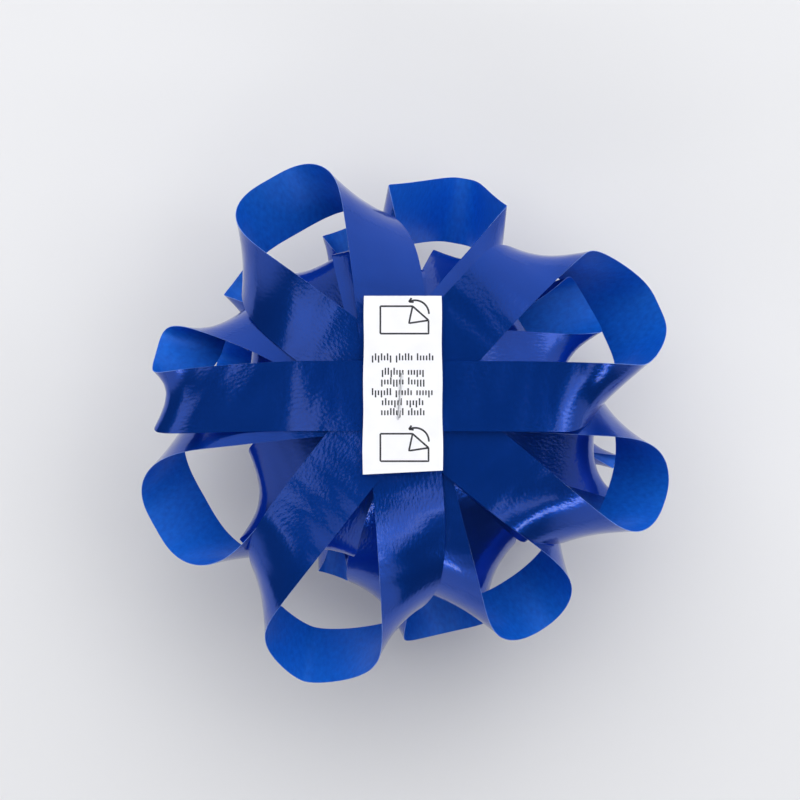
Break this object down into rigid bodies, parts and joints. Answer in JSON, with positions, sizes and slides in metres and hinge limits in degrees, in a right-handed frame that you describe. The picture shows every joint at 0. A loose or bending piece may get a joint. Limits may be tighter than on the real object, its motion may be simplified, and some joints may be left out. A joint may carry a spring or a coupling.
{
  "type": "gift bow",
  "caption": "Pre-made star gift bow lying face down: crossed ribbon loops in layers round a ring, held by one wire staple, with a peel-off label on its underside.",
  "frame": {"origin": "middle of the bottom of the whole bow's box, on the surface that the front loops' tips rest on", "axes": "+Z up, out of the label on the bow's underside, so the bow lies face down as in the picture; +Y along the label towards its upper flap; +X to the right seen from above with +Y up"},
  "size_m": [0.1456, 0.143, 0.0721],
  "materials": {
    "ribbon_film": "mirror-gloss film outside, satin inside",
    "staple_wire": "bright zinc-coated wire",
    "tape_film": "matt",
    "adhesive_film": "tacky, clear to cream",
    "liner_paper": "smooth, slightly glossy release paper"
  },
  "bodies": {
    "root": {"base_loop_1": "ribbon_film", "base_loop_2": "ribbon_film", "base_loop_3": "ribbon_film", "base_loop_4": "ribbon_film", "base_loop_5": "ribbon_film", "base_loop_6": "ribbon_film", "base_loop_7": "ribbon_film", "base_loop_8": "ribbon_film", "second_loop_1": "ribbon_film", "second_loop_2": "ribbon_film", "second_loop_3": "ribbon_film", "second_loop_4": "ribbon_film", "third_loop_1": "ribbon_film", "third_loop_2": "ribbon_film", "third_loop_3": "ribbon_film", "third_loop_4": "ribbon_film", "fourth_loop_1": "ribbon_film", "fourth_loop_2": "ribbon_film", "fourth_loop_3": "ribbon_film", "fourth_loop_4": "ribbon_film", "front_loop_1": "ribbon_film", "front_loop_2": "ribbon_film", "front_loop_3": "ribbon_film", "front_loop_4": "ribbon_film", "centre_ring": "ribbon_film", "staple": "staple_wire", "tape_carrier": "tape_film", "adhesive_layer": "adhesive_film", "liner_middle_strip": "liner_paper"},
    "upper_flap": {"liner_upper_flap": "liner_paper"},
    "lower_flap": {"liner_lower_flap": "liner_paper"}
  },
  "joints": [
    {"name": "upper_flap_peel", "type": "hinge", "parent": "root", "child": "upper_flap", "pos_m": [-0.00139, 0.0157, 0.07099], "axis": [1, 0, 0], "range_deg": [0, 105]},
    {"name": "lower_flap_peel", "type": "hinge", "parent": "root", "child": "lower_flap", "pos_m": [-0.00139, -0.0005, 0.07099], "axis": [-1, 0, 0], "range_deg": [0, 105]}
  ]
}
